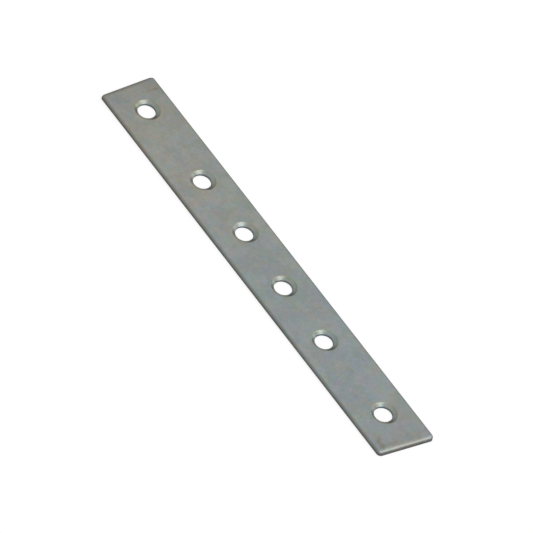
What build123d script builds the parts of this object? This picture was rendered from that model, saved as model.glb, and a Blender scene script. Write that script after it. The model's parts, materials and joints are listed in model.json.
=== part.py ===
from build123d import *
import os
from math import radians, tan

# Mending plate: a flat bar of strip steel, cropped to length, with its upper edges rolled
# over all round and a row of countersunk screw holes.
# X runs along the bar, Y across it and Z up out of the face that the screws enter.
# The origin is on the centre line, halfway along, on the underside.
# Sizes are in millimetres and angles in degrees.

# Bar
length = 150.0  # along the centre line
width = 19.05  # three-quarter-inch strip
thickness = 1.5  # 16 gauge sheet
end_lean = 8.0  # the shear left each end face leaning out towards the underside
corner_radius = 1.3  # at the four corners, as seen from above
edge_roll = 0.8  # radius that the press left on the upper edges
underside_break = 0.15  # radius that tumbling left on the lower edges
left_crop_slant = -1.5  # each crop line leans a little, as the shear cut it
right_crop_slant = 4.5

# Screw holes, in a row that drifts a little off the centre line
bore_diameter = 5.6  # clears a 5 mm countersunk wood screw
bore_land = 0.6  # straight wall left under the cone
sink_angle = 105.0  # whole angle of the cone, pressed wide in thin sheet
sink_lip = 0.2  # radius that eases the mouth of the cone
left_end_distance = 10.8  # end of the bar to the nearest hole, on the centre line
right_end_distance = 13.2
outer_pitch = 29.9  # end hole to the next one, at both ends
hole_drift = (0.4, 0.6, 1.05, 0.15, -0.2, 0.6)  # sideways, from the left hole to the right

# The holes between the outer pitches share the rest of the bar evenly
inner_gaps = len(hole_drift) - 3
inner_run = length - left_end_distance - right_end_distance - 2 * outer_pitch
pitches = [outer_pitch] + [inner_run / inner_gaps] * inner_gaps + [outer_pitch]

# Centre of each hole, from left to right
first_station = left_end_distance - length / 2
stations = [first_station + sum(pitches[:count]) for count in range(len(hole_drift))]
hole_centres = list(zip(stations, hole_drift))

# The cone stops where the land begins, which sets the width of its mouth
sink_depth = thickness - bore_land
mouth_radius = bore_diameter / 2 + sink_depth * tan(radians(sink_angle / 2))

# How far each crop line leans at the long edges
half_width = width / 2
left_lean = half_width * tan(radians(left_crop_slant))
right_lean = half_width * tan(radians(right_crop_slant))

with BuildPart() as mending_plate:
    # The blank: a length of strip between its two crop lines
    with BuildSketch(Plane.XY):
        with BuildLine():
            Polyline(
                (-length / 2 - left_lean, -half_width),
                (length / 2 - right_lean, -half_width),
                (length / 2 + right_lean, half_width),
                (-length / 2 + left_lean, half_width),
                close=True,
            )
        make_face()
    extrude(amount=thickness)

    # The end faces lean, with the full length at the underside
    faces_along_bar = mending_plate.faces().sort_by(Axis.X)
    draft([faces_along_bar[0], faces_along_bar[-1]], Plane.XY, angle=end_lean)

    # Rounded corners, then the rolled upper edge and the eased lower edge
    corner_edges = mending_plate.edges().group_by(Axis.Z)[1]
    fillet(corner_edges, radius=corner_radius)
    upper_face = mending_plate.faces().sort_by(Axis.Z)[-1]
    fillet(upper_face.edges(), radius=edge_roll)
    under_face = mending_plate.faces().sort_by(Axis.Z)[0]
    fillet(under_face.edges(), radius=underside_break)

    # Countersunk holes, entered from the upper face
    with Locations(*[(x, y, thickness) for x, y in hole_centres]):
        CounterSinkHole(
            radius=bore_diameter / 2,
            counter_sink_radius=mouth_radius,
            counter_sink_angle=sink_angle,
        )

    # Eased mouths of the cones
    cones = mending_plate.faces().filter_by(GeomType.CONE)
    mouths = cones.edges().group_by(Axis.Z)[-1]
    fillet(mouths, radius=sink_lip)

mending_plate.part.label = "mending_plate"

os.makedirs("parts", exist_ok=True)
export_step(mending_plate.part, "parts/mending_plate.step")
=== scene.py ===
"""Mending plate of zinc-plated strip steel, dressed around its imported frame.

Sizes are in metres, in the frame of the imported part: X runs along the bar, Y across it and
Z up out of the face that the screws enter, with the underside on the floor.
"""

from __future__ import annotations

import json
import logging
from dataclasses import dataclass, field
from enum import Enum
from math import cos, pi, radians, sin, tan
from typing import Callable, NamedTuple

import bpy
from mathutils import Matrix, Vector

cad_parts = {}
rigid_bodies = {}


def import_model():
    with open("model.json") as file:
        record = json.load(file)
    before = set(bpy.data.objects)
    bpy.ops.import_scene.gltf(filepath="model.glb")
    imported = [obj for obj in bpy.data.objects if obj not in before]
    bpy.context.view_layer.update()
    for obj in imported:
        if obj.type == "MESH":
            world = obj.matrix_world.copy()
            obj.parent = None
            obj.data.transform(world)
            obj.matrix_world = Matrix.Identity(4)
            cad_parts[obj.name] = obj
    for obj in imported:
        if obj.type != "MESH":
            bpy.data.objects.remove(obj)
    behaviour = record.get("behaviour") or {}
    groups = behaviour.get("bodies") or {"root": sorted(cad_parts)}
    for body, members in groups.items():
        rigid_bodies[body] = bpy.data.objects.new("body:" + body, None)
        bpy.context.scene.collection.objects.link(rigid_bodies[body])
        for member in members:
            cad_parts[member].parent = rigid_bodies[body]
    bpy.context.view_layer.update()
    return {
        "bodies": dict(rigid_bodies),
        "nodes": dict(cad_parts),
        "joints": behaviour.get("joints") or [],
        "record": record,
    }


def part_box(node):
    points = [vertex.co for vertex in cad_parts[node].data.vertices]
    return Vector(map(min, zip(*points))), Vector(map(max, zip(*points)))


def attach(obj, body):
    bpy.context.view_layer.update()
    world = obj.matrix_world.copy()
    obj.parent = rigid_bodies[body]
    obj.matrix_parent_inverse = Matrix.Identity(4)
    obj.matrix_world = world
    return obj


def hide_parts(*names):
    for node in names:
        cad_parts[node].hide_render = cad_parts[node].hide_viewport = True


LOG = logging.getLogger("mending_plate")

NODE = "mending_plate"
BODY = "root"
SLOT = "zinc_plated_steel"

MM = 0.001
QUARTER = pi / 2
FAR_FROM_HOLES = 20.0 * MM
RIPPLE_SEED = 4.0
RIPPLE_DETAIL = 1.0
WHITE = (1.0, 1.0, 1.0, 1.0)
MIX_LOW, MIX_HIGH, MIX_RESULT = 6, 7, 2  # the Mix node's sockets for colours

Colour = tuple[float, float, float]


class End(Enum):
    """The two cropped ends, by the side of the middle that they stand on."""

    LEFT = -1
    RIGHT = 1


class Tint(Enum):
    """Tints that the plating takes, and painted shade on its edges, walls and bores, as factors
    on its base colour.
    """

    BLUE = (0.985, 1.00, 1.07)
    OLIVE = (1.015, 1.00, 0.93)
    ROSE = (1.065, 0.99, 1.00)
    MINT = (0.94, 1.01, 1.00)
    PALE = (1.045, 1.045, 1.045)
    DARK = (0.955, 0.955, 0.955)
    COOL = (0.955, 0.995, 1.04)
    WARM = (1.045, 1.005, 0.955)
    STRAW = (1.01, 0.99, 0.90)
    BROWN = (0.84, 0.73, 0.60)
    SHADED = (0.91, 0.91, 0.92)
    # painted shade on the rolled edges and flanks, by tilt
    RIM = (0.835, 0.82, 0.785)
    # painted shade on the steeper faces
    DULL = (0.80, 0.80, 0.80)
    # painted shade on the upright walls
    CUT = (0.62, 0.62, 0.62)
    # painted shade, dark and bluish, on the bore's wall
    STEEL = (0.58, 0.63, 0.70)
    PRESSED = (1.08, 1.13, 1.15)


# ---------------------------------------------------------------------------------------
# Writing node trees
# ---------------------------------------------------------------------------------------


class Ramp(NamedTuple):
    """Where a smooth change begins and where it is complete."""

    start: float
    stop: float


class Field:
    """A number that flows through a node tree; arithmetic on it adds the nodes."""

    def __init__(self, sheet: NodeSheet, socket: bpy.types.NodeSocket) -> None:
        """Hold a socket.

        Args:
            sheet: The tree that the socket is in.
            socket: The output that carries the number.
        """
        self.sheet = sheet
        self.socket = socket

    def math(self, operation: str, *others: Field | float, clamp: bool = False) -> Field:
        """Combine this number with others.

        Args:
            operation: The Math node's operation.
            others: The terms after this one.
            clamp: Whether the result stays between 0 and 1.

        Returns:
            The result.
        """
        return self.sheet.math(operation, self, *others, clamp=clamp)

    def __add__(self, other: Field | float) -> Field:
        """Add a term."""
        return self.math("ADD", other)

    def __sub__(self, other: Field | float) -> Field:
        """Take a term away."""
        return self.math("SUBTRACT", other)

    def __rsub__(self, other: float) -> Field:
        """Take this from a plain number."""
        return self.sheet.math("SUBTRACT", other, self)

    def __mul__(self, other: Field | float) -> Field:
        """Multiply by a term."""
        return self.math("MULTIPLY", other)

    def __truediv__(self, other: Field | float) -> Field:
        """Divide by a term."""
        return self.math("DIVIDE", other)

    def __rtruediv__(self, other: float) -> Field:
        """Divide a plain number by this."""
        return self.sheet.math("DIVIDE", other, self)

    __radd__ = __add__
    __rmul__ = __mul__

    def sin(self) -> Field:
        """Return the sine of an angle in radians."""
        return self.math("SINE")

    def cos(self) -> Field:
        """Return the cosine of an angle in radians."""
        return self.math("COSINE")

    def tan(self) -> Field:
        """Return the tangent of an angle in radians."""
        return self.math("TANGENT")

    def clamped(self) -> Field:
        """Return this number, held between 0 and 1."""
        return self.math("ADD", 0.0, clamp=True)

    def length(self, other: Field) -> Field:
        """Return the long side of the right triangle on two numbers."""
        return (self * self + other * other).math("SQRT")

    def fade(self, ramp: Ramp) -> Field:
        """Go smoothly from 0 to 1.

        Args:
            ramp: Where the result leaves 0 and where it reaches 1.

        Returns:
            The eased result.
        """
        inputs = {"Value": self, "From Min": ramp.start, "From Max": ramp.stop}
        node = self.sheet.add("ShaderNodeMapRange", inputs, interpolation_type="SMOOTHSTEP")
        return Field(self.sheet, node.outputs[0])

    def swing(self, amount: float) -> Field:
        """Turn a number around one half into one around 0 that spans an amount."""
        return self * amount - amount / 2

    def mix(self, start: Field | float, stop: Field | float) -> Field:
        """Go in a straight line from one number to another as this goes from 0 to 1."""
        return start + (stop - start) * self


Number = Field | float


class NodeSheet:
    """A node tree while it is written."""

    def __init__(self, tree: bpy.types.NodeTree) -> None:
        """Hold the tree."""
        self.tree = tree

    def add(self, kind: str, inputs: dict | None = None, **settings: object) -> bpy.types.Node:
        """Add a node.

        Args:
            kind: The node's type name.
            inputs: What goes into its sockets, by name or number: a field, a socket or a
                plain value.
            settings: The node's own properties, which are set before its sockets.

        Returns:
            The node.
        """
        node = self.tree.nodes.new(kind)
        for name, value in settings.items():
            setattr(node, name, value)
        for key, value in (inputs or {}).items():
            self.feed(node.inputs[key], value)
        return node

    def feed(self, socket: bpy.types.NodeSocket, value: object) -> None:
        """Link an input, or set the input's own value.

        Args:
            socket: The input.
            value: A field or a socket to link to it, or its plain value.
        """
        if isinstance(value, Field):
            value = value.socket
        if isinstance(value, bpy.types.NodeSocket):
            self.tree.links.new(value, socket)
        else:
            socket.default_value = value

    def field(self, node: bpy.types.Node, output: str | int = 0) -> Field:
        """Return a node's output as a field."""
        return Field(self, node.outputs[output])

    def math(self, operation: str, *terms: Number, clamp: bool = False) -> Field:
        """Add a Math node.

        Args:
            operation: The node's operation.
            terms: Its inputs, in order.
            clamp: Whether the result stays between 0 and 1.

        Returns:
            The result.
        """
        settings = {"operation": operation, "use_clamp": clamp}
        return self.field(self.add("ShaderNodeMath", dict(enumerate(terms)), **settings))

    def vector(self, x: Number, y: Number, z: Number) -> bpy.types.NodeSocket:
        """Join three numbers into a vector."""
        return self.add("ShaderNodeCombineXYZ", {0: x, 1: y, 2: z}).outputs[0]

    def split(self, vector: bpy.types.NodeSocket) -> tuple[Field, Field, Field]:
        """Split a vector into its three numbers."""
        node = self.add("ShaderNodeSeparateXYZ", {0: vector})
        return self.field(node, 0), self.field(node, 1), self.field(node, 2)

    def noise(
        self,
        place: bpy.types.NodeSocket,
        size: Number,
        seed: Number,
        detail: float,
        roughness: float = 0.5,
    ) -> Field:
        """Add a cloudy noise.

        Args:
            place: The point that it is read at.
            size: The size of one cloud.
            seed: Which of many such noises this is.
            detail: How many finer noises are added to it.
            roughness: How strong the finer ones are.

        Returns:
            A number around one half.
        """
        inputs = {
            "Vector": place,
            "W": seed,
            "Scale": 1.0 / size,
            "Detail": detail,
            "Roughness": roughness,
        }
        return self.field(self.add("ShaderNodeTexNoise", inputs, noise_dimensions="4D"))

    def attribute(self, name: str) -> Field:
        """Return a number that the mesh carries."""
        return self.field(self.add("ShaderNodeAttribute", attribute_name=name), "Fac")


# ---------------------------------------------------------------------------------------
# Sizes
# ---------------------------------------------------------------------------------------


@dataclass(frozen=True)
class PlateSizes:
    """The plate's sizes in metres, with its angles in radians."""

    length: float = 150.0 * MM
    width: float = 19.05 * MM
    thickness: float = 1.5 * MM
    corner_radius: float = 1.3 * MM
    rim_margin: float = 2.2 * MM
    side_nose: float = 0.6 * MM
    side_droop_reach: float = 0.7 * MM
    side_droop: float = 0.06 * MM
    end_nose: float = 1.0 * MM
    end_droop_reach: float = 0.8 * MM
    end_droop: float = 0.12 * MM
    end_lean: float = radians(12.0)
    underside_break: float = 0.15 * MM
    left_slant: float = radians(-1.5)
    right_slant: float = radians(4.5)
    bore_radius: float = 2.8 * MM
    bore_land: float = 0.6 * MM
    bore_break: float = 0.06 * MM
    sink_half_angle: float = radians(52.5)
    sink_lip: float = 0.2 * MM
    sink_drift: float = 0.2 * MM
    ripple: float = 0.012 * MM
    ripple_size: float = 7.0 * MM

    @classmethod
    def from_frame(cls, mounts: list[dict], low: Vector, high: Vector) -> PlateSizes:
        """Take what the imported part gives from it.

        Args:
            mounts: The record's screw holes.
            low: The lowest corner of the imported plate.
            high: Its highest corner.

        Returns:
            The sizes.
        """
        return cls(
            width=high[1] - low[1],
            thickness=high[2] - low[2],
            bore_radius=mounts[0]["dims"]["r_mm"] * MM,
            bore_land=mounts[0]["dims"]["length_mm"] * MM,
        )


@dataclass(frozen=True)
class Facets:
    """How finely the plate's skin is divided, and where it holds its flats true.

    Columns are faces along a strip, and rows are faces across it.
    """

    bay_columns: int = 48
    end_columns: int = 32
    corner_columns: int = 8
    collar_rows: int = 1
    bay_rows: int = 12
    lip_rows: int = 5
    cone_rows: int = 6
    land_rows: int = 3
    bore_break_rows: int = 3
    bay_under_rows: int = 8
    rim_rows: int = 1
    roll_rows: int = 16
    wall_rows: int = 3
    rim_break_rows: int = 4
    rim_under_rows: int = 3
    support: float = 0.12 * MM
    weld: float = 0.001 * MM
    crisp_angle: float = radians(35.0)

    @property
    def ring(self) -> int:
        """The faces round one hole's bay."""
        return 2 * (self.bay_columns + self.end_columns)


# ---------------------------------------------------------------------------------------
# The skin
# ---------------------------------------------------------------------------------------


class Spot(NamedTuple):
    """Where a corner of a strip goes, in the section that its column is cut through.

    The reach is measured out from the hole's axis, or out across the rim's margin. The tilt
    goes from 0 on a flat face to 1 on an upright one. The drift is the share that the corner
    takes of the countersink's shift from its bore.
    """

    reach: Number
    height: Number
    tilt: Number
    drift: Number = 0.0


Section = Callable[..., Spot]


class Rim:
    """The plate's outer edge at one place, where the long sides blend into the ends."""

    def __init__(self, skin: SkinTree, heading: Field) -> None:
        """Work out the edge's form.

        Args:
            skin: The tree that the edge is part of.
            heading: The way that the edge faces, as an angle from X.
        """
        share = heading.cos() * heading.cos()
        self.nose = share.mix(skin.size("Side Nose"), skin.size("End Nose"))
        self.reach = share.mix(skin.size("Side Droop Reach"), skin.size("End Droop Reach"))
        self.droop = share.mix(skin.size("Side Droop"), skin.size("End Droop"))
        self.lean = skin.size("End Lean") * share
        foot_out, foot_height = self.roll(QUARTER - self.lean)
        self.wall_top = skin.thickness - self.nose - self.droop + foot_height
        self.flat_end = skin.margin - self.wall_top * self.lean.tan() - foot_out
        self.toe = skin.size("Underside Break") * (self.lean.tan() + 1.0 / self.lean.cos())

    def roll(self, tilt: Field) -> tuple[Field, Field]:
        """Find the point of the rolled edge whose face has a given tilt.

        Args:
            tilt: The angle from flat.

        Returns:
            How far out it is from where the roll leaves the upper face, and how far up from
            where a full roll would be upright.
        """
        flat, steep = self.reach * tilt.sin(), self.droop * tilt.cos()
        spread = flat.length(steep)
        out = self.nose * tilt.sin() + self.reach * flat / spread
        return out, self.nose * tilt.cos() + self.droop * steep / spread


class SkinTree(NodeSheet):
    """The Geometry Nodes tree that grows the plate's skin from its row of screw holes.

    The bar is cut into bays of equal length, with one hole in each. Rings run from the edge
    of a bay to its hole, down through it and back out below. A band with rounded corners
    goes round all the bays and closes the outside.
    """

    def __init__(
        self, sizes: PlateSizes, facets: Facets, holes: int, finish: bpy.types.Material
    ) -> None:
        """Write the whole tree.

        Args:
            sizes: The plate's sizes, which become the tree's named inputs.
            facets: How finely the skin is divided.
            holes: How many holes there are.
            finish: The material of the result.
        """
        super().__init__(bpy.data.node_groups.new("plate_skin", "GeometryNodeTree"))
        self.facets = facets
        self.holes = holes
        self.values: dict[str, float] = {}
        interface = self.tree.interface
        interface.new_socket("Holes", in_out="INPUT", socket_type="NodeSocketGeometry")
        interface.new_socket("Plate", in_out="OUTPUT", socket_type="NodeSocketGeometry")
        self.declare(sizes)
        self.source = self.tree.nodes.new("NodeGroupInput")
        self.read_sizes()
        self.strips: list[bpy.types.NodeSocket] = []
        self.points = self.mark_holes()
        self.hole_strips()
        self.outer_strips()
        self.close_skin(finish)

    def declare(self, sizes: PlateSizes) -> None:
        """Give the tree a named input for every size.

        Args:
            sizes: The plate's sizes.
        """
        named = {name.replace("_", " ").title(): value for name, value in vars(sizes).items()}
        interface = self.tree.interface
        for name, value in {**named, "Seed": RIPPLE_SEED}.items():
            item = interface.new_socket(name, in_out="INPUT", socket_type="NodeSocketFloat")
            self.values[item.identifier] = value

    def size(self, name: str) -> Field:
        """Return one of the tree's named inputs."""
        return self.field(self.source, name)

    def read_sizes(self) -> None:
        """Work out what the strips share from the named inputs."""
        self.thickness = self.size("Thickness")
        self.corner = self.size("Corner Radius")
        self.bore = self.size("Bore Radius")
        self.land = self.size("Bore Land")
        self.lip = self.size("Sink Lip")
        self.half_angle = self.size("Sink Half Angle")
        self.margin = self.size("Rim Margin")
        depth = self.thickness - self.land
        self.mouth = self.bore + depth * self.half_angle.tan()
        self.lip_turn = QUARTER - self.half_angle
        self.flat_start = self.mouth + self.lip * (self.lip_turn / 2).tan()

    def inner(self, along: Field, across: Field, margin: Field) -> tuple[Field, Field]:
        """Find a point of the plate's outline, drawn in by an even margin.

        Args:
            along: 0 at the left end and 1 at the right end.
            across: 0 at the near edge and 1 at the far edge.
            margin: How far in the outline is drawn.

        Returns:
            The point's place along and across the bar.
        """
        y = (across * 2.0 - 1.0) * (self.size("Width") / 2 - margin)
        left, right = (self.end_line(end, y, margin) for end in End)
        return along.mix(left, right), y

    def end_line(self, end: End, across: Field, margin: Field) -> Field:
        """Return how far along the bar one end of the drawn-in outline is.

        Args:
            end: Which end.
            across: The place across the bar.
            margin: How far in the outline is drawn.

        Returns:
            The place along the bar.
        """
        slant = self.size(f"{end.name.title()} Slant")
        reach = self.size("Length") / 2 - margin / slant.cos()
        return reach * float(end.value) + slant.tan() * across

    @staticmethod
    def progress(count: Field, start: float, steps: float) -> Field:
        """Go from 0 to 1 while a count goes through some steps."""
        return ((count - start) / steps).clamped()

    def mark_holes(self) -> bpy.types.NodeSocket:
        """Note each hole's centre and its number on its point.

        Returns:
            The points.
        """
        capture = self.tree.nodes.new("GeometryNodeCaptureAttribute")
        capture.capture_items.new("VECTOR", "Centre")
        capture.capture_items.new("FLOAT", "Bay")
        self.feed(capture.inputs["Geometry"], self.source.outputs["Holes"])
        self.feed(capture.inputs["Centre"], self.add("GeometryNodeInputPosition").outputs[0])
        self.feed(capture.inputs["Bay"], self.add("GeometryNodeInputIndex").outputs[0])
        self.centre_x, self.centre_y, _ = self.split(capture.outputs["Centre"])
        self.bay = self.field(capture, "Bay")
        return capture.outputs["Geometry"]

    def grid(self, columns: int, rows: int) -> tuple[bpy.types.NodeSocket, Field, Field]:
        """Make a flat strip of faces, with each corner's column and row noted on it.

        Args:
            columns: Faces along the strip.
            rows: Faces across it.

        Returns:
            The strip, the column and the row.
        """
        size = {"Size X": columns, "Size Y": rows}
        count = {"Vertices X": columns + 1, "Vertices Y": rows + 1}
        mesh = self.add("GeometryNodeMeshGrid", {**size, **count})
        x, y, _ = self.split(self.add("GeometryNodeInputPosition").outputs[0])
        capture = self.tree.nodes.new("GeometryNodeCaptureAttribute")
        capture.capture_items.new("FLOAT", "Column")
        capture.capture_items.new("FLOAT", "Row")
        self.feed(capture.inputs["Geometry"], mesh.outputs["Mesh"])
        self.feed(capture.inputs["Column"], x + columns / 2)
        self.feed(capture.inputs["Row"], y + rows / 2)
        column, row = (self.field(capture, name) for name in ("Column", "Row"))
        return capture.outputs["Geometry"], column, row

    def lay(
        self, mesh: bpy.types.NodeSocket, place: bpy.types.NodeSocket, **notes: Number
    ) -> None:
        """Put a strip's corners in their places and keep it.

        Args:
            mesh: The strip.
            place: Where each corner goes.
            notes: Numbers that the finish reads at each corner, by name.
        """
        node = self.add("GeometryNodeSetPosition", {"Geometry": mesh, "Position": place})
        settings = {"data_type": "FLOAT", "domain": "POINT"}
        for name, value in notes.items():
            inputs = {"Geometry": node.outputs[0], "Name": name, "Value": value}
            node = self.add("GeometryNodeStoreNamedAttribute", inputs, **settings)
        self.strips.append(node.outputs[0])

    def ring_strip(self, rows: int, section: Section) -> None:
        """Lay a ring of faces round every hole.

        Args:
            rows: Faces across the ring.
            section: Gives a corner's spot from how far across the ring it is, from 0 to 1, and
                from how far the edge of the bay is.
        """
        bay, end, ring = self.facets.bay_columns, self.facets.end_columns, self.facets.ring
        mesh, column, row = self.grid(ring, rows)
        inputs = {"Points": self.points, "Instance": mesh}
        copies = self.add("GeometryNodeInstanceOnPoints", inputs)
        real = self.add("GeometryNodeRealizeInstances", {"Geometry": copies.outputs[0]})
        along = self.progress(column, 0, bay) - self.progress(column, bay + end, bay)
        across = self.progress(column, bay, end) - self.progress(column, 2 * bay + end, end)
        edge_x, edge_y = self.inner((self.bay + along) / self.holes, across, self.margin)
        away_x, away_y = edge_x - self.centre_x, edge_y - self.centre_y
        reach = away_x.length(away_y)
        spot = section(row / rows, reach)
        x = self.centre_x + away_x / reach * spot.reach + self.size("Sink Drift") * spot.drift
        y = self.centre_y + away_y / reach * spot.reach
        place = self.vector(x, y, spot.height)
        self.lay(real.outputs[0], place, tilt=spot.tilt, hole_radius=spot.reach)

    def hole_strips(self) -> None:
        """Lay the rings of every hole, from the upper face down and out along the underside."""
        facets, support, wear = self.facets, self.facets.support, self.size("Bore Break")
        top, turn, lip = self.thickness, self.lip_turn, self.lip

        def lip_point(angle: Field) -> tuple[Field, Field]:
            """Return how far from the axis and how high the eased lip is at an angle."""
            return self.flat_start - lip * angle.sin(), top - lip + lip * angle.cos()

        foot_radius, foot_height = lip_point(turn)

        def upper(part: Field, reach: Field) -> Spot:
            """The upper face, with its rings closer together near the hole."""
            near = 1.0 - (1.0 - part) * (1.0 - part)
            return Spot(near.mix(reach, self.flat_start + support), top, 0.0, near)

        def collar(part: Field, reach: Field) -> Spot:
            """A narrow ring that holds the upper face flat up to the lip."""
            return Spot(self.flat_start + (1.0 - part) * support, top, 0.0, 1.0)

        def eased(part: Field, reach: Field) -> Spot:
            """The eased lip of the countersink."""
            angle = part * turn
            return Spot(*lip_point(angle), angle / QUARTER, 1.0)

        def cone(part: Field, reach: Field) -> Spot:
            """The wall of the countersink."""
            radius = part.mix(foot_radius, self.bore)
            return Spot(radius, part.mix(foot_height, self.land), turn / QUARTER, 1.0 - part)

        def land(part: Field, reach: Field) -> Spot:
            """The straight wall of the bore."""
            return Spot(self.bore, part.mix(self.land, wear), 1.0)

        def broken(part: Field, reach: Field) -> Spot:
            """The lower rim of the bore."""
            angle = part * QUARTER
            return Spot(
                self.bore + wear * (1.0 - angle.cos()), wear * (1.0 - angle.sin()), 1.0 - part
            )

        def under(part: Field, reach: Field) -> Spot:
            """The underside."""
            return Spot((part * part).mix(self.bore + wear, reach), 0.0, 0.0)

        strips = {
            upper: facets.bay_rows,
            collar: facets.collar_rows,
            eased: facets.lip_rows,
            cone: facets.cone_rows,
            land: facets.land_rows,
            broken: facets.bore_break_rows,
            under: facets.bay_under_rows,
        }
        for section, rows in strips.items():
            self.ring_strip(rows, section)

    def band(self, rows: int, section: Section) -> None:
        """Lay a band of faces right round the plate.

        Args:
            rows: Faces across the band.
            section: Gives a corner's spot from how far across the band it is, from 0 to 1, and
                from the rim there.
        """
        side, end = self.holes * self.facets.bay_columns, self.facets.end_columns
        corner = self.facets.corner_columns
        starts = [0]
        for steps in (side, corner, end, corner) * 2:
            starts.append(starts[-1] + steps)
        mesh, column, row = self.grid(starts[-1], rows)
        along = self.progress(column, starts[0], side) - self.progress(column, starts[4], side)
        across = self.progress(column, starts[2], end) - self.progress(column, starts[6], end)
        left, right = self.size("Left Slant"), self.size("Right Slant")
        turns = (QUARTER - right, QUARTER + right, QUARTER - left, QUARTER + left)
        heading = -QUARTER
        for count, turn in enumerate(turns):
            heading = self.progress(column, starts[2 * count + 1], corner) * turn + heading
        start_x, start_y = self.inner(along, across, self.margin)
        turn_x, turn_y = self.inner(along, across, self.corner)
        spot = section(row / rows, Rim(self, heading))
        share = spot.reach / self.margin
        x = share.mix(start_x, turn_x + heading.cos() * self.corner)
        y = share.mix(start_y, turn_y + heading.sin() * self.corner)
        place = self.vector(x, y, spot.height)
        self.lay(mesh, place, tilt=spot.tilt, hole_radius=FAR_FROM_HOLES)

    def outer_strips(self) -> None:
        """Lay the bands round the outside, from the underside up and in over the upper face."""
        facets, support, wear = self.facets, self.facets.support, self.size("Underside Break")
        margin, top = self.margin, self.thickness

        def under(part: Field, rim: Rim) -> Spot:
            """The margin of the underside."""
            return Spot(part * (margin - rim.toe), 0.0, 0.0)

        def broken(part: Field, rim: Rim) -> Spot:
            """The tumbled lower edge."""
            angle = part * (rim.lean + QUARTER)
            return Spot(margin - rim.toe + wear * angle.sin(), wear * (1.0 - angle.cos()), part)

        def wall(part: Field, rim: Rim) -> Spot:
            """The side, which leans in towards its top at the ends."""
            height = part.mix(wear + wear * rim.lean.sin(), rim.wall_top)
            return Spot(margin - height * rim.lean.tan(), height, 1.0)

        def rolled(part: Field, rim: Rim) -> Spot:
            """The rolled upper edge, from upright to flat.

            Args:
                part: How far across the band the corner is.
                rim: The rim there.

            Returns:
                The corner's spot.
            """
            left = (1.0 - part) * (1.0 - part)
            out, height = rim.roll(left * (QUARTER - rim.lean))
            return Spot(rim.flat_end + out, top - rim.nose - rim.droop + height, left)

        def collar(part: Field, rim: Rim) -> Spot:
            """A narrow band that holds the upper face flat up to the roll."""
            return Spot(rim.flat_end - part * support, top, 0.0)

        def upper(part: Field, rim: Rim) -> Spot:
            """The margin of the upper face."""
            return Spot((1.0 - part) * (rim.flat_end - support), top, 0.0)

        strips = {
            under: facets.rim_under_rows,
            broken: facets.rim_break_rows,
            wall: facets.wall_rows,
            rolled: facets.roll_rows,
            collar: facets.collar_rows,
            upper: facets.rim_rows,
        }
        for section, rows in strips.items():
            self.band(rows, section)

    def close_skin(self, finish: bpy.types.Material) -> None:
        """Weld the strips into one closed skin, ripple it and give it its finish.

        Args:
            finish: The material of the result.
        """
        joined = self.tree.nodes.new("GeometryNodeJoinGeometry")
        for strip in reversed(self.strips):
            self.feed(joined.inputs[0], strip)
        inputs = {"Geometry": joined.outputs[0], "Distance": self.facets.weld}
        welded = self.add("GeometryNodeMergeByDistance", inputs)
        place = self.add("GeometryNodeInputPosition").outputs[0]
        _, _, z = self.split(place)
        size, seed = self.size("Ripple Size"), self.size("Seed")
        wave = self.noise(place, size, seed, RIPPLE_DETAIL).clamped()
        drop = wave * self.size("Ripple") * (z / self.thickness) * -1.0
        inputs = {"Geometry": welded.outputs[0], "Offset": self.vector(0.0, 0.0, drop)}
        rippled = self.add("GeometryNodeSetPosition", inputs)
        smooth = self.add("GeometryNodeSetShadeSmooth", {"Geometry": rippled.outputs[0]})
        angle = self.field(self.add("GeometryNodeInputMeshEdgeAngle"), "Unsigned Angle")
        sharp = angle.math("GREATER_THAN", self.facets.crisp_angle)
        inputs = {"Geometry": smooth.outputs[0], "Selection": sharp, "Shade Smooth": False}
        crisp = self.add("GeometryNodeSetShadeSmooth", inputs, domain="EDGE")
        real = self.add("GeometryNodeRealizeInstances", {"Geometry": crisp.outputs[0]})
        inputs = {"Geometry": real.outputs[0], "Material": finish}
        dressed = self.add("GeometryNodeSetMaterial", inputs)
        output = self.tree.nodes.new("NodeGroupOutput")
        self.feed(output.inputs["Plate"], dressed.outputs[0])


# ---------------------------------------------------------------------------------------
# Finish
# ---------------------------------------------------------------------------------------


@dataclass(frozen=True)
class Noise:
    """A cloudy noise, with the size of one cloud in metres."""

    size: float
    seed: float
    detail: float
    roughness: float = 0.5

    def at(self, sheet: NodeSheet, place: bpy.types.NodeSocket) -> Field:
        """Return the noise at a point, as a number around one half."""
        return sheet.noise(place, self.size, self.seed, self.detail, self.roughness)


@dataclass(frozen=True)
class Cloud:
    """A soft mottling that goes from one tint to another."""

    low: Tint
    high: Tint
    noise: Noise
    spread: float

    def share(self, sheet: NodeSheet, place: bpy.types.NodeSocket) -> Field:
        """Return how much of the high tint there is at a point."""
        return self.noise.at(sheet, place).fade(Ramp(0.5 - self.spread, 0.5 + self.spread))


@dataclass(frozen=True)
class Mark:
    """A stain or a small dent on the upper face, or a band of painted shade, with its place and
    reach in millimetres.
    """

    x: float
    y: float
    along: float
    across: float
    strength: float
    tint: Tint = Tint.BROWN


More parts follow.
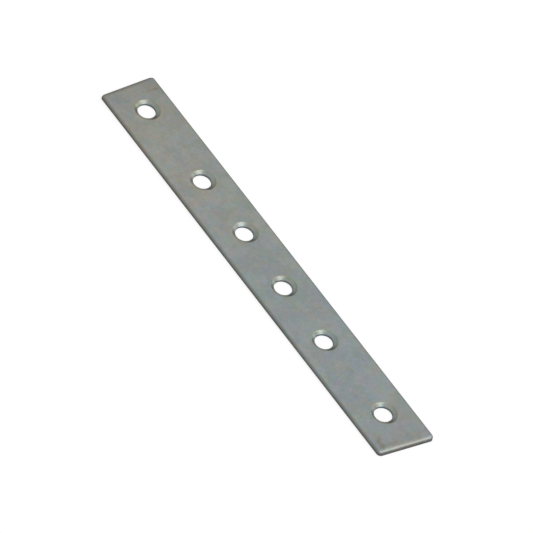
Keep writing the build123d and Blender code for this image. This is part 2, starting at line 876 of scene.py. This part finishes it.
@dataclass(frozen=True)
class ZincPlating:
    """Dull bright-zinc plating with the faint clouds of colour of its clear passivation.

    A zone is a ramp over a distance: from a hole's axis, from the middle of the bar, along
    the bar or up from the underside. A tilt is a ramp over how steep the face is. Painted
    shade darkens the rolled edges, the steep walls and the bores by their tilt.
    """

    base: Colour = (0.298, 0.318, 0.304)
    glancing: Colour = (0.60, 0.57, 0.54)
    roughness: float = 0.40
    rough_swing: float = 0.04
    grain: Noise = Noise(0.5 * MM, 18.0, 2.0)
    grain_strength: float = 0.12
    grain_depth: float = 0.03 * MM
    pressed_zone: Ramp = Ramp(4.2 * MM, 3.9 * MM)
    pressed_polish: float = 0.09
    drift: Noise = Noise(30.0 * MM, 31.0, 1.0)
    drift_swing: float = 1.2
    cool_start: Ramp = Ramp(-70.0 * MM, 40.0 * MM)
    cool_stop: Ramp = Ramp(52.0 * MM, 78.0 * MM)
    cool_loss: float = 0.6
    clouds: tuple[Cloud, ...] = (
        Cloud(Tint.OLIVE, Tint.BLUE, Noise(3.4 * MM, 11.0, 4.0, 0.8), 0.075),
        Cloud(Tint.ROSE, Tint.MINT, Noise(2.8 * MM, 12.0, 4.0, 0.8), 0.075),
        Cloud(Tint.DARK, Tint.PALE, Noise(9.0 * MM, 13.0, 4.0, 0.8), 0.075),
        Cloud(Tint.DARK, Tint.PALE, Noise(1.0 * MM, 14.0, 4.0, 0.8), 0.11),
    )
    lip_outer_zone: Ramp = Ramp(4.7 * MM, 4.1 * MM)
    lip_inner_zone: Ramp = Ramp(3.3 * MM, 3.9 * MM)
    cone_zone: Ramp = Ramp(4.0 * MM, 3.5 * MM)
    # where the painted shade of the bore's wall reaches
    bore_shade_zone: Ramp = Ramp(3.1 * MM, 2.9 * MM)
    end_zone: Ramp = Ramp(63.0 * MM, 72.0 * MM)
    upper_zone: Ramp = Ramp(0.5 * MM, 0.9 * MM)
    # tilts over which the painted shade of the rolled edges comes in
    edge_shade_tilt: Ramp = Ramp(0.02, 0.2)
    # tilts over which the painted shade of the steeper faces comes in
    slope_shade_tilt: Ramp = Ramp(0.4, 0.9)
    # tilts over which the painted shade of the upright walls comes in
    wall_shade_tilt: Ramp = Ramp(0.75, 0.98)
    ragged: Noise = Noise(0.9 * MM, 41.0, 3.0)
    ragged_swing: float = 1.6
    mark_edge: Ramp = Ramp(1.3, 0.3)
    marks: tuple[Mark, ...] = (
        Mark(-70.2, 7.3, 0.45, 1.1, 0.8),
        Mark(-70.3, 4.5, 0.3, 3.0, 0.25),
        # painted shade along the far end's rolled edge, across the whole width
        Mark(-73.8, 0.0, 0.8, 8.0, 0.45, Tint.RIM),
        Mark(-69.6, -5.6, 2.6, 2.2, 0.8, Tint.BLUE),
        Mark(71.3, -7.2, 1.9, 1.0, 0.8),
        Mark(69.2, -6.6, 1.1, 0.8, 0.5),
        Mark(72.4, -4.2, 0.9, 3.8, 0.45),
        Mark(44.9, 0.7, 0.5, 0.4, 0.55),
        Mark(53.6, -3.6, 1.3, 0.6, 0.3),
        Mark(42.4, 6.3, 1.2, 0.3, 0.35),
        Mark(52.9, 7.6, 0.5, 0.4, 0.35),
    )

    def material(self) -> bpy.types.Material:
        """Build the plating's material.

        Returns:
            The material, named after the slot.
        """
        material = bpy.data.materials.new(SLOT)
        material.use_nodes = True
        sheet = NodeSheet(material.node_tree)
        sheet.tree.nodes.clear()
        place = sheet.add("ShaderNodeTexCoord").outputs["Object"]
        tilt = sheet.attribute("tilt")
        grain = self.grain.at(sheet, place)
        inputs = {"Strength": self.grain_strength, "Distance": self.grain_depth, "Height": grain}
        bump = sheet.add("ShaderNodeBump", inputs)
        pressed = sheet.attribute("hole_radius").fade(self.pressed_zone) * self.pressed_polish
        rough = grain.mix(self.roughness - self.rough_swing, self.roughness + self.rough_swing)
        inputs = {
            "Base Color": self.colour(sheet, place, tilt),
            "Specular Tint": (*self.glancing, 1.0),
            "Metallic": 1.0,
            "Roughness": rough - pressed,
            "Normal": bump.outputs[0],
        }
        shader = sheet.add("ShaderNodeBsdfPrincipled", inputs)
        sheet.add("ShaderNodeOutputMaterial", {"Surface": shader.outputs[0]})
        return material

    def colour(
        self, sheet: NodeSheet, place: bpy.types.NodeSocket, tilt: Field
    ) -> bpy.types.NodeSocket:
        """Build the plating's colour, with painted shade on its steep faces and bores.

        Args:
            sheet: The material's tree.
            place: The point on the plate.
            tilt: How steep the face is, from 0 to 1.

        Returns:
            The colour.
        """
        x, _, z = sheet.split(place)
        radius = sheet.attribute("hole_radius")
        drift = self.drift.at(sheet, place).swing(self.drift_swing)
        cool = x.fade(self.cool_start) - x.fade(self.cool_stop) * self.cool_loss + drift
        colour = self.tinted(sheet, (*self.base, 1.0), cool.clamped(), Tint.WARM, Tint.COOL)
        for cloud in self.clouds:
            share = cloud.share(sheet, place)
            colour = self.tinted(sheet, colour, share, cloud.low, cloud.high)
        above = z.fade(self.upper_zone)
        tints = [
            (radius.fade(self.lip_outer_zone) * radius.fade(self.lip_inner_zone), Tint.STRAW),
            (radius.fade(self.cone_zone), Tint.PRESSED),
            (x.math("ABSOLUTE").fade(self.end_zone), Tint.SHADED),
            *((self.blot(sheet, place, mark) * above, mark.tint) for mark in self.marks),
            # painted shade: the rolled edges, steep walls and the bore's wall darken by tilt
            (tilt.fade(self.edge_shade_tilt), Tint.RIM),
            (tilt.fade(self.slope_shade_tilt), Tint.DULL),
            (tilt * radius.fade(self.bore_shade_zone), Tint.STEEL),
            (tilt.fade(self.wall_shade_tilt), Tint.CUT),
        ]
        for share, tint in tints:
            colour = self.tinted(sheet, colour, share, None, tint)
        return colour

    def blot(self, sheet: NodeSheet, place: bpy.types.NodeSocket, mark: Mark) -> Field:
        """Return how strong a mark is at a point.

        Args:
            sheet: The material's tree.
            place: The point on the plate.
            mark: The mark.

        Returns:
            The strength, from 0 to 1.
        """
        x, y, _ = sheet.split(place)
        along = (x - mark.x * MM) / (mark.along * MM)
        across = (y - mark.y * MM) / (mark.across * MM)
        ragged = self.ragged.at(sheet, place).swing(self.ragged_swing)
        return (along.length(across) + ragged).fade(self.mark_edge) * mark.strength

    @staticmethod
    def tinted(
        sheet: NodeSheet,
        colour: bpy.types.NodeSocket | tuple[float, ...],
        share: Field,
        low: Tint | None,
        high: Tint,
    ) -> bpy.types.NodeSocket:
        """Multiply a colour by a tint between two others.

        Args:
            sheet: The material's tree.
            colour: The colour so far.
            share: Where the tint is, from 0 at the low one to 1 at the high one.
            low: The low tint, or None for no tint.
            high: The high tint.

        Returns:
            The tinted colour.
        """
        start = (*low.value, 1.0) if low else WHITE
        inputs = {"Factor": share, MIX_LOW: start, MIX_HIGH: (*high.value, 1.0)}
        tint = sheet.add("ShaderNodeMix", inputs, data_type="RGBA")
        inputs = {"Factor": 1.0, MIX_LOW: colour, MIX_HIGH: tint.outputs[MIX_RESULT]}
        product = sheet.add("ShaderNodeMix", inputs, data_type="RGBA", blend_type="MULTIPLY")
        return product.outputs[MIX_RESULT]


# ---------------------------------------------------------------------------------------
# The plate
# ---------------------------------------------------------------------------------------


@dataclass
class MendingPlate:
    """The flat bar with its row of countersunk screw holes."""

    sizes: PlateSizes
    centres: list[tuple[float, float]]
    facets: Facets = field(default_factory=Facets)
    finish: ZincPlating = field(default_factory=ZincPlating)

    @classmethod
    def from_frame(cls, frame: dict) -> MendingPlate:
        """Read the plate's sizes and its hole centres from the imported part.

        Args:
            frame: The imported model.

        Returns:
            The plate, not built yet.
        """
        mounts = frame["record"]["mounts"]
        mounts = [mount for mount in mounts if mount["name"].startswith("screw_hole")]
        mounts.sort(key=lambda mount: mount["pos_m"][0])
        centres = [(mount["pos_m"][0], mount["pos_m"][1]) for mount in mounts]
        low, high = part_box(NODE)
        return cls(PlateSizes.from_frame(mounts, low, high), centres)

    def build(self) -> bpy.types.Object:
        """Grow the skin from its hole centres.

        Returns:
            The plate, as a plain mesh.
        """
        seeds = bpy.data.meshes.new("hole_centres")
        seeds.from_pydata([(x, y, 0.0) for x, y in self.centres], [], [])
        piece = bpy.data.objects.new("plate_body", seeds)
        bpy.context.scene.collection.objects.link(piece)
        finish = self.finish.material()
        skin = SkinTree(self.sizes, self.facets, len(self.centres), finish)
        modifier = piece.modifiers.new("plate_skin", "NODES")
        modifier.node_group = skin.tree
        for identifier, value in skin.values.items():
            modifier[identifier] = value
        evaluated = piece.evaluated_get(bpy.context.evaluated_depsgraph_get())
        mesh = bpy.data.meshes.new_from_object(evaluated)
        piece.modifiers.remove(modifier)
        piece.data = mesh
        mesh.name = "plate_body"
        mesh.materials.clear()
        mesh.materials.append(finish)
        bpy.data.meshes.remove(seeds)
        return piece

    def dress(self, piece: bpy.types.Object) -> None:
        """Put the piece on its body and hide the imported part that it stands in for.

        Args:
            piece: The finished plate.
        """
        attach(piece, BODY)
        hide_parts(NODE)


# ---------------------------------------------------------------------------------------
# Studio
# ---------------------------------------------------------------------------------------


@dataclass(frozen=True)
class Softbox:
    """A panel of soft light that faces the plate, with its angles in degrees."""

    name: str
    azimuth: float
    elevation: float
    distance: float
    width: float
    height: float
    radiance: float

    def build(self) -> None:
        """Hang the light."""
        data = bpy.data.lights.new(self.name, "AREA")
        data.shape = "RECTANGLE"
        data.size, data.size_y = self.width, self.height
        data.energy = self.radiance * pi * self.width * self.height
        lamp = bpy.data.objects.new(self.name, data)
        lamp.visible_camera = False
        turn, rise = radians(self.azimuth), radians(self.elevation)
        towards = Vector((cos(turn) * cos(rise), sin(turn) * cos(rise), sin(rise)))
        lamp.location = towards * self.distance
        lamp.rotation_euler = towards.to_track_quat("Z", "Y").to_euler()
        bpy.context.scene.collection.objects.link(lamp)


@dataclass(frozen=True)
class Viewpoint:
    """The camera, by where it stands round the plate, with angles in degrees."""

    azimuth: float = 41.40  # from the front, towards the right end
    elevation: float = 46.42
    roll: float = 19.56
    distance: float = 2.1592
    lens: float = 500.3
    aim_right: float = 0.438 * MM
    aim_up: float = -1.269 * MM
    clip_start: float = 0.01

    def build(self, height: float) -> None:
        """Set up the camera.

        Args:
            height: The height of the face that the camera is aimed at.
        """
        turn, rise, roll = radians(self.azimuth), radians(self.elevation), radians(self.roll)
        towards = Vector((sin(turn) * cos(rise), -cos(turn) * cos(rise), sin(rise)))
        level = Vector((cos(turn), sin(turn), 0.0))
        upright = towards.cross(level)
        right = level * cos(roll) + upright * sin(roll)
        up = upright * cos(roll) - level * sin(roll)
        aim = right * self.aim_right + up * self.aim_up + Vector((0.0, 0.0, height))
        data = bpy.data.cameras.new("camera")
        data.lens, data.clip_start = self.lens, self.clip_start
        camera = bpy.data.objects.new("camera", data)
        turned = Matrix((right, up, towards)).transposed().to_4x4()
        camera.matrix_world = Matrix.Translation(aim + towards * self.distance) @ turned
        bpy.context.scene.collection.objects.link(camera)
        bpy.context.scene.camera = camera


@dataclass
class Studio:
    """A plain pale floor under a pale sky, with soft light."""

    floor_half: float = 3.0
    floor_gap: float = 0.02 * MM
    floor_colour: Colour = (0.90, 0.90, 0.90)
    sky_level: float = 1.02
    horizon_level: float = 0.60
    seen_white: float = 0.80
    key: Softbox = Softbox(
        name="key_softbox",
        azimuth=31.0,
        elevation=54.0,
        distance=0.9,
        width=0.86,
        height=0.82,
        radiance=1.75,
    )
    back: Softbox = Softbox(
        name="back_softbox",
        azimuth=82.0,
        elevation=18.0,
        distance=1.2,
        width=0.80,
        height=0.60,
        radiance=1.0,
    )

    def build(self) -> None:
        """Set up the sky, the floor and the lights."""
        self.build_sky()
        self.build_floor()
        self.key.build()
        self.back.build()

    def build_sky(self) -> None:
        """Light the scene softly from all round, less from near the horizon."""
        world = bpy.data.worlds.new("sky")
        world.use_nodes = True
        sheet = NodeSheet(world.node_tree)
        sheet.tree.nodes.clear()
        _, _, rise = sheet.split(sheet.add("ShaderNodeTexCoord").outputs["Generated"])
        level = rise.math("ABSOLUTE").mix(self.horizon_level, self.sky_level)
        sky = sheet.add("ShaderNodeBackground", {"Color": WHITE, "Strength": level})
        sheet.add("ShaderNodeOutputWorld", {"Surface": sky.outputs[0]})
        bpy.context.scene.world = world

    def build_floor(self) -> None:
        """Lay the floor."""
        half, level = self.floor_half, -self.floor_gap
        mesh = bpy.data.meshes.new("floor")
        sides = ((-half, -half), (half, -half), (half, half), (-half, half))
        corners = [(x, y, level) for x, y in sides]
        mesh.from_pydata(corners, [], [(0, 1, 2, 3)])
        mesh.materials.append(self.floor_material())
        floor = bpy.data.objects.new("floor", mesh)
        bpy.context.scene.collection.objects.link(floor)

    def floor_material(self) -> bpy.types.Material:
        """Build the floor's paper, which keeps the plate's shadow and is clear from below.

        Returns:
            The material.
        """
        material = bpy.data.materials.new("floor_paper")
        material.use_nodes = True
        sheet = NodeSheet(material.node_tree)
        sheet.tree.nodes.clear()
        path = sheet.add("ShaderNodeLightPath")
        rays = ("Is Camera Ray", "Is Glossy Ray", "Is Transmission Ray")
        white = sum(sheet.field(path, ray) for ray in rays).clamped() * self.seen_white
        paper = sheet.add("ShaderNodeBsdfDiffuse", {"Color": (*self.floor_colour, 1.0)})
        glow = sheet.add("ShaderNodeEmission", {"Color": WHITE, "Strength": 1.0})
        inputs = {0: white, 1: paper.outputs[0], 2: glow.outputs[0]}
        upper = sheet.add("ShaderNodeMixShader", inputs)
        below = sheet.field(sheet.add("ShaderNodeNewGeometry"), "Backfacing")
        clear = sheet.add("ShaderNodeBsdfTransparent")
        inputs = {0: below, 1: upper.outputs[0], 2: clear.outputs[0]}
        both = sheet.add("ShaderNodeMixShader", inputs)
        sheet.add("ShaderNodeOutputMaterial", {"Surface": both.outputs[0]})
        return material


# ---------------------------------------------------------------------------------------
# Making it all
# ---------------------------------------------------------------------------------------


def main() -> None:
    """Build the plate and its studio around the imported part."""
    logging.basicConfig(level=logging.INFO, format="%(name)s: %(message)s")
    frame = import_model()
    bpy.context.scene.view_settings.view_transform = "Standard"

    plate = MendingPlate.from_frame(frame)
    piece = plate.build()
    plate.dress(piece)
    LOG.info("%s: %d holes, %d faces", piece.name, len(plate.centres), len(piece.data.polygons))

    Studio().build()
    Viewpoint().build(plate.sizes.thickness)
    LOG.info("studio and camera are in place")


if __name__ == "__main__":
    main()
